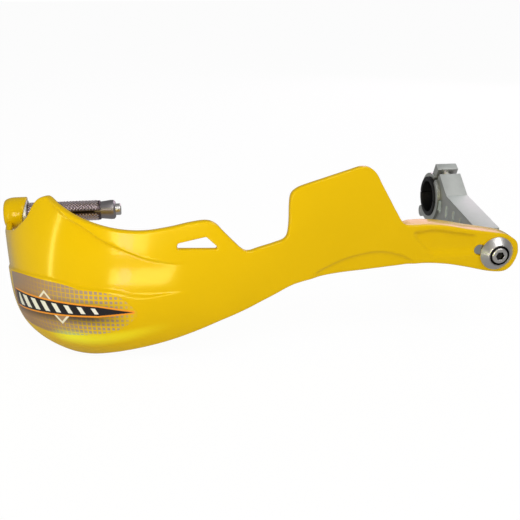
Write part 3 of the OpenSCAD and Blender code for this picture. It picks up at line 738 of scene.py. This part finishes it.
# ---------------------------------------------------------------- knurl of the expander sleeve
def knurl_tree():
    """Geometry Nodes: rows of small four-sided pyramids round a cylinder along X, clear of four slots."""
    t = bpy.data.node_groups.new("diamond_knurl", "GeometryNodeTree")
    t.interface.new_socket(name="Geometry", in_out="OUTPUT", socket_type="NodeSocketGeometry")
    for name, kind in (("Start", "Float"), ("Length", "Float"), ("Radius", "Float"), ("Pitch", "Float"),
                       ("Around", "Int"), ("Height", "Float"), ("Slot start", "Float"),
                       ("Slot half width", "Float"), ("Slot turn", "Float"), ("Finish", "Material")):
        t.interface.new_socket(name=name, in_out="INPUT", socket_type="NodeSocket" + kind)
    n, l = t.nodes, t.links
    calc = calculator(t)
    given, made = n.new("NodeGroupInput").outputs, n.new("NodeGroupOutput").inputs
    pitch, around_count = given["Pitch"], given["Around"]

    # a grid whose points are laid round the cylinder, every other row shifted by half a pitch
    grid = n.new("GeometryNodeMeshGrid")
    l.new(calc("FLOOR", calc("DIVIDE", given["Length"], pitch)), grid.inputs["Vertices X"])
    l.new(around_count, grid.inputs["Vertices Y"])
    index = n.new("GeometryNodeInputIndex").outputs[0]
    i = calc("FLOOR", calc("DIVIDE", calc("ADD", index, 0.5), around_count))
    j = calc("SUBTRACT", index, calc("MULTIPLY", i, around_count))
    shift = calc("MULTIPLY", calc("MODULO", j, 2.0), 0.5)
    x = calc("ADD", calc("MULTIPLY", calc("ADD", i, shift), pitch), given["Start"])
    a = calc("MULTIPLY", calc("DIVIDE", j, around_count), 2*math.pi)
    spot = n.new("ShaderNodeCombineXYZ")
    l.new(x, spot.inputs[0])
    l.new(calc("MULTIPLY", calc("COSINE", a), given["Radius"]), spot.inputs[1])
    l.new(calc("MULTIPLY", calc("SINE", a), given["Radius"]), spot.inputs[2])
    turn = n.new("ShaderNodeCombineXYZ")
    l.new(calc("SUBTRACT", a, math.pi/2), turn.inputs[0])
    keep_turn = n.new("GeometryNodeStoreNamedAttribute")
    keep_turn.data_type = "FLOAT_VECTOR"
    keep_turn.inputs["Name"].default_value = "turn"
    l.new(grid.outputs["Mesh"], keep_turn.inputs["Geometry"])
    l.new(turn.outputs[0], keep_turn.inputs["Value"])
    move = n.new("GeometryNodeSetPosition")
    l.new(keep_turn.outputs[0], move.inputs["Geometry"])
    l.new(spot.outputs[0], move.inputs["Position"])

    # nothing over the slots
    xyz = n.new("ShaderNodeSeparateXYZ")
    l.new(n.new("GeometryNodeInputPosition").outputs[0], xyz.inputs[0])
    x, y, z = xyz.outputs
    c, s = calc("COSINE", given["Slot turn"]), calc("SINE", given["Slot turn"])
    off_one = calc("ABSOLUTE", calc("SUBTRACT", calc("MULTIPLY", y, c), calc("MULTIPLY", z, s)))
    off_other = calc("ABSOLUTE", calc("ADD", calc("MULTIPLY", y, s), calc("MULTIPLY", z, c)))
    near = calc("LESS_THAN", calc("MINIMUM", off_one, off_other), given["Slot half width"])
    beyond = calc("GREATER_THAN", x, given["Slot start"])
    drop = n.new("GeometryNodeDeleteGeometry")
    l.new(move.outputs[0], drop.inputs["Geometry"])
    l.new(calc("MULTIPLY", near, beyond), drop.inputs["Selection"])

    # a blunt pyramid on every point that is left
    cone = n.new("GeometryNodeMeshCone")
    cone.inputs["Vertices"].default_value = 4
    cone.fill_type = "NGON"
    l.new(calc("MULTIPLY", pitch, 0.24), cone.inputs["Radius Top"])
    l.new(calc("MULTIPLY", pitch, 0.43), cone.inputs["Radius Bottom"])
    l.new(given["Height"], cone.inputs["Depth"])
    put = n.new("GeometryNodeInstanceOnPoints")
    l.new(drop.outputs[0], put.inputs["Points"])
    l.new(cone.outputs["Mesh"], put.inputs["Instance"])
    read = n.new("GeometryNodeInputNamedAttribute")
    read.data_type = "FLOAT_VECTOR"
    read.inputs["Name"].default_value = "turn"
    rotation = n.new("FunctionNodeEulerToRotation")
    l.new(read.outputs["Attribute"], rotation.inputs[0])
    l.new(rotation.outputs[0], put.inputs["Rotation"])
    real = n.new("GeometryNodeRealizeInstances")
    l.new(put.outputs[0], real.inputs[0])
    finish = n.new("GeometryNodeSetMaterial")
    l.new(real.outputs[0], finish.inputs["Geometry"])
    l.new(given["Finish"], finish.inputs["Material"])
    l.new(finish.outputs[0], made[0])
    return t


def add_knurl(sleeve):
    """Sinks the sleeve's turned wall a little and covers it with the knurl."""
    for v in sleeve.data.vertices:
        r = math.hypot(v.co.y, v.co.z)
        if r > (SLEEVE_R - 0.45)*MM:
            v.co.y *= 1 - KNURL_SUNK*MM/r
            v.co.z *= 1 - KNURL_SUNK*MM/r
    ob = bpy.data.objects.new("knurl", bpy.data.meshes.new("knurl"))
    bpy.context.collection.objects.link(ob)
    mod = ob.modifiers.new("diamond_knurl", "NODES")
    mod.node_group = knurl_tree()
    values = {"Start": (SLEEVE_X + 1.2)*MM, "Length": (SLEEVE_L - 1.6)*MM, "Radius": (SLEEVE_R - 0.42)*MM,
              "Pitch": KNURL_PITCH*MM, "Around": KNURL_AROUND, "Height": KNURL_H*MM,
              "Slot start": (SLEEVE_X + SLEEVE_L - SLEEVE_SLOT_L - 0.5)*MM,
              "Slot half width": (SLEEVE_SLOT/2 + 0.5)*MM, "Slot turn": math.radians(SLEEVE_SLOT_TURN),
              "Finish": CREST_PAINTED_LIGHT}
    for item in mod.node_group.interface.items_tree:
        if item.in_out == "INPUT":
            mod[item.identifier] = values[item.name]
    apply_modifiers(ob)
    while ob.data.materials[0] is None:
        ob.data.materials.pop(index=0)
    join_into(sleeve, ob)
    shade(sleeve, 30)


def paint_faces(piece, material, chosen):
    """Gives the faces whose centre (mm) is chosen another material, here painted shade or painted light."""
    piece.data.materials.append(material)
    for f in piece.data.polygons:
        if chosen(f.center/MM):
            f.material_index = len(piece.data.materials) - 1


def around(point, axis, radius, start, end):
    """Chooses what lies near an axis, from start to end along it (mm)."""
    point, axis = Vector(point), Vector(axis).normalized()

    def chosen(c):
        along = (c - point) @ axis
        return start < along < end and (c - point - axis*along).length < radius
    return chosen


# ---------------------------------------------------------------- pieces
def place(ob, slot, node):
    """Puts the piece on the body and hides the CAD node that it stands for; the slot is not used."""
    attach(ob, BODY)
    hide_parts(node)


shell = build_shell([YELLOW])
extras = joined("shell_extras", [flange_parts(), boss_parts(), hood_parts()], [YELLOW])
outward(extras)
join_into(shell, extras)
shade(shell, 45)
place(shell, "yellow_shell", "shield")

FILM_YELLOW, FILM_SQUARE, FILM_FADE = (0.72, 0.458, 0.0), (0.40, 0.28, 0.20), (0.34, 0.19, 0.10)
FILM_PALE, FILM_SHADE, FILM_RIM = (0.30, 0.21, 0.17), (0.05, 0.03, 0.02), (0.85, 0.30, 0.02)
FILM_DART, FILM_BAR = (0.012, 0.010, 0.012), (0.80, 0.78, 0.76)
FILM_CHEVRON, FILM_CHEVRON_IN = (0.78, 0.72, 0.62), (0.36, 0.22, 0.12)


def film_material():
    """Printed graphic: halftone field, tapered dart with bars, two chevrons.

    It is drawn in the film's own length u and height v, in mm.
    """
    m, nt, bsdf = new_material("printed_film")
    uv = nt.nodes.new("ShaderNodeUVMap")
    uv.uv_map = "length_height"
    split = nt.nodes.new("ShaderNodeSeparateXYZ")
    nt.links.new(uv.outputs[0], split.inputs[0])
    u, v = split.outputs[0], split.outputs[1]
    calc = calculator(nt)
    dart_tip, dart_middle, dart_end = 240, 262, 331

    def along(at0, at1):
        """Share that rises along the film from at0 to at1."""
        return slope(calc, u, at0, at1)

    def within(limit, x, soft=0.3):
        """1 where x is below the limit, with a soft edge."""
        return slope(calc, calc("SUBTRACT", limit, x), 0.0, soft)

    # the dart's middle line drops and rises again towards the bar end; d is the height above it
    bend = calc("POWER", calc("MULTIPLY", calc("SUBTRACT", u, dart_middle), 1/60), 2.0)
    d = calc("SUBTRACT", v, calc("MULTIPLY_ADD", bend, -3.0, -30.5))
    off = calc("ABSOLUTE", d)
    half = times(calc, along(dart_tip, dart_middle),
                 calc("MULTIPLY_ADD", along(dart_middle, 322), 2.3, 3.0))
    before_end = along(dart_end, 327)

    # halftone squares, smaller towards the inboard tip, fading darker towards the bar end
    pitch = 2.9
    cell = [calc("ABSOLUTE", calc("SUBTRACT", calc("FRACT", calc("MULTIPLY", x, 1/pitch)), 0.5))
            for x in (u, v)]
    size = calc("MULTIPLY_ADD", along(dart_tip, 282), 0.17, 0.27)
    squares = within(size, calc("MAXIMUM", *cell), 0.05)
    ink = blended(nt, times(calc, squares, along(239, 252)), FILM_YELLOW, FILM_SQUARE)
    ink = blended(nt, times(calc, along(268, 314), 0.9), ink, FILM_FADE)
    ink = blended(nt, times(calc, along(296, dart_end), slope(calc, d, 6, 12)), ink, FILM_PALE)
    shaded = times(calc, slope(calc, off, 11.0, 5.0), along(243, 266), 0.92, slope(calc, d, 8.0, 0.0))
    ink = blended(nt, shaded, ink, FILM_SHADE)

    # two slim chevrons above and below the dart, each with a darker core
    for at, sign in ((297.0, 1.0), (286.0, -1.0)):
        x = calc("ABSOLUTE", calc("SUBTRACT", u, at))
        tip = calc("MULTIPLY", d, sign)
        for reach, colour in ((10.0, FILM_CHEVRON), (8.2, FILM_CHEVRON_IN)):
            fin = times(calc, within(calc("MULTIPLY_ADD", tip, -0.95, reach), x, 0.25),
                        slope(calc, tip, 2.0, 2.3))
            ink = blended(nt, fin, ink, colour)

    rim = times(calc, within(calc("ADD", half, 1.0), off), before_end, along(dart_tip, 241))
    ink = blended(nt, rim, ink, FILM_RIM)
    dart = times(calc, within(half, off), before_end, along(241, 242))
    ink = blended(nt, dart, ink, FILM_DART)

    # slanted bars inside the dart, wider towards the bar end
    lean = calc("FRACT", calc("MULTIPLY", calc("MULTIPLY_ADD", d, -0.55, u), 1/8.2))
    width = calc("MULTIPLY_ADD", along(258, 322), 0.28, 0.32)
    bars = times(calc, within(width, lean, 0.04), slope(calc, lean, 0.0, 0.04),
                 within(calc("SUBTRACT", half, 1.1), off), along(258, 259), along(324, 323))
    ink = blended(nt, bars, ink, FILM_BAR)
    nt.links.new(ink, bsdf.inputs["Base Color"])
    grained(nt, bsdf, grain=0.0012, blotch=0.03, rough=0.2, spread=0.06, bump=0.05, height=0.00002)
    return m


def build_film():
    """Thin film just proud of the skirt, its underside sunk into it."""
    loop = oriented(respaced(film_loop(), 1.0, True), True)
    pts, tris, where = triangulated([loop], interior([loop], FILM_GRID, [], 0.8))
    n = len(pts)
    verts = np.vstack([shell_at(pts[:, 0], pts[:, 1], depth) for depth in (-FILM_UP, FILM_SUNK)])
    faces = [t[[0, 2, 1]] for t in tris] + [t + n for t in tris]
    ids = [where[i] for i in range(len(loop))]
    for a, b in zip(ids, ids[1:] + ids[:1]):
        faces.append([a, b, b + n, a + n])
    ob = mesh_object("guard_graphic", verts, faces, [film_material()], 60)
    uv = ob.data.uv_layers.new(name="length_height")
    for corner in ob.data.loops:
        uv.data[corner.index].uv = pts[corner.vertex_index % n]
    return ob


place(build_film(), "printed_film", "graphic_film")

OUTBOARD, FORWARD = (-1, 0, 0), (0, -1, 0)
BOLT_HEAD = (ARM_SCREW_X, -REACH, -ARM_SCREW_Z)
PLUG_TIP = (SLEEVE_X + SLEEVE_L + 6, 0, 0)


def arm_pocket(c):
    """Chooses what lies in the pockets in the sides of the arm's beam."""
    return 3.4 < abs(c.x) < 7.55 and -60 < c.y < -16.5 and -9.8 < c.z < 2.8


def cut_at_plug_tip(piece):
    """Divides the plug bolt's long faces at its tip, so that the painted shade on the shank ends there and
    the tip alone stays bright.
    """
    finish_mesh(piece, lambda bm: bmesh.ops.bisect_plane(
        bm, geom=bm.verts[:] + bm.edges[:] + bm.faces[:], plane_co=Vector(PLUG_TIP)*MM,
        plane_no=(1, 0, 0)), 35)


# faces painted another colour to stand for light and shade: painted shade on the saddle's side, in the
# sockets and inside the sleeve; painted light in the arm's pockets
PAINTED_SHADE_AND_LIGHT = {
    "cast_arm": [(SADDLE_PAINTED_SHADE, around((0, 0, 0), OUTBOARD, CLAMP_R, *SADDLE_STEP)), (POCKET_PAINTED_LIGHT, arm_pocket)],
    "arm_bolt": [(RECESS_PAINTED_SHADE, around(BOLT_HEAD, FORWARD, 2.85, 2.5, 5.7))],
    "dished_washer": [(RECESS_PAINTED_SHADE, around(BOLT_HEAD, FORWARD, 6.7, 1.0, 4.98))],
    "plug_bolt": [(RECESS_PAINTED_SHADE, around((-SPAN + CBORE_D, 0, 0), OUTBOARD, 3.5, 2.0, 6.1)),
                  (RECESS_PAINTED_SHADE, around(PLUG_TIP, OUTBOARD, 4.6, 0.0, 48.0))],
    "plug_wedge": [(RECESS_PAINTED_SHADE, around((SLEEVE_X, 0, 0), (1, 0, 0), 6.0, 0.0, SLEEVE_L - 0.4))]}

for node, name, rounding, finish, slot in (
        ("clamp_arm", "cast_arm", 1.5, CAST, "cast_alloy"),
        ("clamp_cap", "hinged_cap", 0.5, CAST, "cast_alloy"),
        ("hinge_pin", "cap_pin", 0.15, STEEL, "steel"),
        ("clamp_screw", "cap_screw", 0.12, STEEL, "steel"),
        ("reducer_upper", "reducer_top_half", 0.35, DARK, "black_reducer"),
        ("reducer_lower", "reducer_foot_half", 0.35, DARK, "black_reducer"),
        ("cone_washer", "dished_washer", 0.2, STEEL, "steel"),
        ("arm_screw", "arm_bolt", 0.15, STEEL, "steel"),
        ("bar_end_screw", "plug_bolt", 0.15, STEEL, "steel"),
        ("bar_end_washer", "plug_washer", 0.15, STEEL, "steel"),
        ("bar_end_collar", "plug_collar", 0.15, CAST, "cast_alloy"),
        # the sleeve's body is near black, painted shade between the knurl's crests
        ("expander_sleeve", "plug_sleeve", 0.15, ROOT_PAINTED_SHADE, "cast_alloy"),
        ("expander_wedge", "plug_wedge", 0.2, KNURLED, "cast_alloy")):
    piece = from_node(node, name, rounding)
    piece.data.materials.append(finish)
    if name == "plug_bolt":
        cut_at_plug_tip(piece)
    for material, chosen in PAINTED_SHADE_AND_LIGHT.get(name, ()):
        paint_faces(piece, material, chosen)
    if name == "plug_sleeve":
        add_knurl(piece)
    place(piece, slot, node)


# ---------------------------------------------------------------- floor, light, camera
def stage_floor():
    """Pale floor that is white to the camera but keeps the object's shadow."""
    me = bpy.data.meshes.new("stage_floor")
    z, w = cad_box[0][2] - 0.0004, 6.0
    me.from_pydata([(-w, -w, z), (w, -w, z), (w, w, z), (-w, w, z)], [], [(0, 1, 2, 3)])
    ob = bpy.data.objects.new("stage_floor", me)
    bpy.context.collection.objects.link(ob)
    m, nt, b = new_material("pale_floor")
    b.inputs["Base Color"].default_value = (0.6, 0.6, 0.6, 1)
    b.inputs["Roughness"].default_value = 0.9
    b.inputs["Specular IOR Level"].default_value = 0.1

    # reflections see a dim floor with a lemon patch under the skirt, two of its sides slanted: a painted
    # reflection, the floor glowing there for glossy rays only
    calc = calculator(nt)
    split = nt.nodes.new("ShaderNodeSeparateXYZ")
    nt.links.new(nt.nodes.new("ShaderNodeTexCoord").outputs["Object"], split.inputs[0])
    x, y = split.outputs[0], split.outputs[1]
    slant = calc("MULTIPLY_ADD", x, 0.525, y)
    reflection_glow = times(calc, slope(calc, x, -0.292, -0.275), slope(calc, x, -0.200, -0.232),
                 slope(calc, slant, -0.2490, -0.2405), slope(calc, slant, -0.2260, -0.2355))
    seen = blended(nt, reflection_glow, (0.3, 0.3, 0.3), (3.2, 6.2, 0.8))

    # the camera sees mostly plain white with the lit floor's own shadow in it
    path = nt.nodes.new("ShaderNodeLightPath")
    below = b.outputs[0]
    for ray, share, strength, colour in (("Is Glossy Ray", 1.0, 1.0, seen),
                                         ("Is Camera Ray", 0.9, 1.05, None)):
        glow, mix = nt.nodes.new("ShaderNodeEmission"), nt.nodes.new("ShaderNodeMixShader")
        glow.inputs["Strength"].default_value = strength
        if colour:
            nt.links.new(colour, glow.inputs["Color"])
        nt.links.new(calc("MULTIPLY", path.outputs[ray], share), mix.inputs[0])
        nt.links.new(below, mix.inputs[1])
        nt.links.new(glow.outputs[0], mix.inputs[2])
        below = mix.outputs[0]
    nt.links.new(below, nt.nodes["Material Output"].inputs[0])
    me.materials.append(m)


def area_light(name, at, towards, size, size_y, radiance, colour=(1, 1, 1), up=(0, 0, 1)):
    """Rectangular lamp of a given brightness per area."""
    data = bpy.data.lights.new(name, "AREA")
    data.shape = "RECTANGLE"
    data.size, data.size_y = size, size_y
    data.energy = radiance*math.pi*size*size_y
    data.color = colour
    ob = bpy.data.objects.new(name, data)
    bpy.context.collection.objects.link(ob)
    z = (Vector(at) - Vector(towards)).normalized()
    x = Vector(up).cross(z).normalized()
    turn = Matrix((x, z.cross(x), z)).transposed()
    ob.matrix_world = Matrix.Translation(at) @ turn.to_4x4()


def world_light():
    """Soft studio surroundings: white to the camera, dim to reflections, even for diffuse light."""
    w = bpy.data.worlds.new("studio")
    bpy.context.scene.world = w
    w.use_nodes = True
    nt = w.node_tree
    nt.nodes.clear()
    out, path = nt.nodes.new("ShaderNodeOutputWorld"), nt.nodes.new("ShaderNodeLightPath")

    def white(strength):
        k = nt.nodes.new("ShaderNodeBackground")
        k.inputs[0].default_value = (1, 1, 1, 1)
        k.inputs[1].default_value = strength
        return k.outputs[0]

    below = white(0.45)
    for ray, strength in (("Is Glossy Ray", 0.22), ("Is Camera Ray", 1.0)):
        mix = nt.nodes.new("ShaderNodeMixShader")
        nt.links.new(path.outputs[ray], mix.inputs[0])
        nt.links.new(below, mix.inputs[1])
        nt.links.new(white(strength), mix.inputs[2])
        below = mix.outputs[0]
    nt.links.new(below, out.inputs[0])


def studio_lights():
    """Soft lamps in front, above and behind, and narrow ones whose reflections the shell shows."""
    sun, pink = (0.9, 1.0, 0.4), (0.95, 0.68, 1.0)
    area_light("key_soft", (0.30, -0.80, 1.0), (-0.12, -0.05, 0), 0.8, 0.7, 3.4)
    area_light("back_soft", (0.50, 0.80, 0.62), (-0.03, -0.05, 0), 0.7, 0.4, 1.5, (0.95, 0.98, 1.0))
    area_light("ledge_soft", (0.45, 1.0, 0.29), (-0.05, -0.08, 0), 0.6, 0.4, 1.7, (1.0, 0.6, 0.85))
    area_light("top_soft", (0.42, -0.16, 1.0), (-0.03, -0.05, 0), 0.6, 0.5, 0.9)
    for name, x, width, colour in (("window_left", -0.640, 0.10, sun), ("window_mid", -0.515, 0.15, pink),
                                   ("window_right", -0.385, 0.10, sun)):
        area_light(name, (x, -1.30, 0.28), (-0.235, -0.1, 0.28), width, 0.56, 10, colour)
    for name, x, width, colour in (("card_left", -0.343, 0.03, sun), ("card_mid", -0.304, 0.042, pink),
                                   ("card_right", -0.262, 0.034, sun)):
        area_light(name, (x, -0.405, -0.0635), (x, -0.405, 1), width, 0.30, 10, colour,
                   (x + 0.235, -0.31, 0))
    area_light("edge_strip", (-0.41, -0.139, 0.008), (-0.27, -0.139, 0.008), 0.012, 0.125, 11, sun,
               (0, -0.22, 0.975))


def photo_camera():
    """Camera fitted to the photo's outline, for a picture 520 pixels wide."""
    turn, elevation, focal_px, sensor = math.radians(8.26), math.radians(21.24), 740.0, 36
    data = bpy.data.cameras.new("photo_camera")
    data.sensor_width = sensor
    data.lens = focal_px*sensor/520
    camera = bpy.data.objects.new("photo_camera", data)
    bpy.context.collection.objects.link(camera)
    camera.location = (-0.2066, -0.4993, 0.1528)
    look = Vector((math.sin(turn)*math.cos(elevation), math.cos(turn)*math.cos(elevation),
                   -math.sin(elevation)))
    camera.rotation_euler = look.to_track_quat("-Z", "Y").to_euler()
    bpy.context.scene.camera = camera


stage_floor()
world_light()
studio_lights()
photo_camera()
bpy.context.scene.view_settings.view_transform = "Standard"
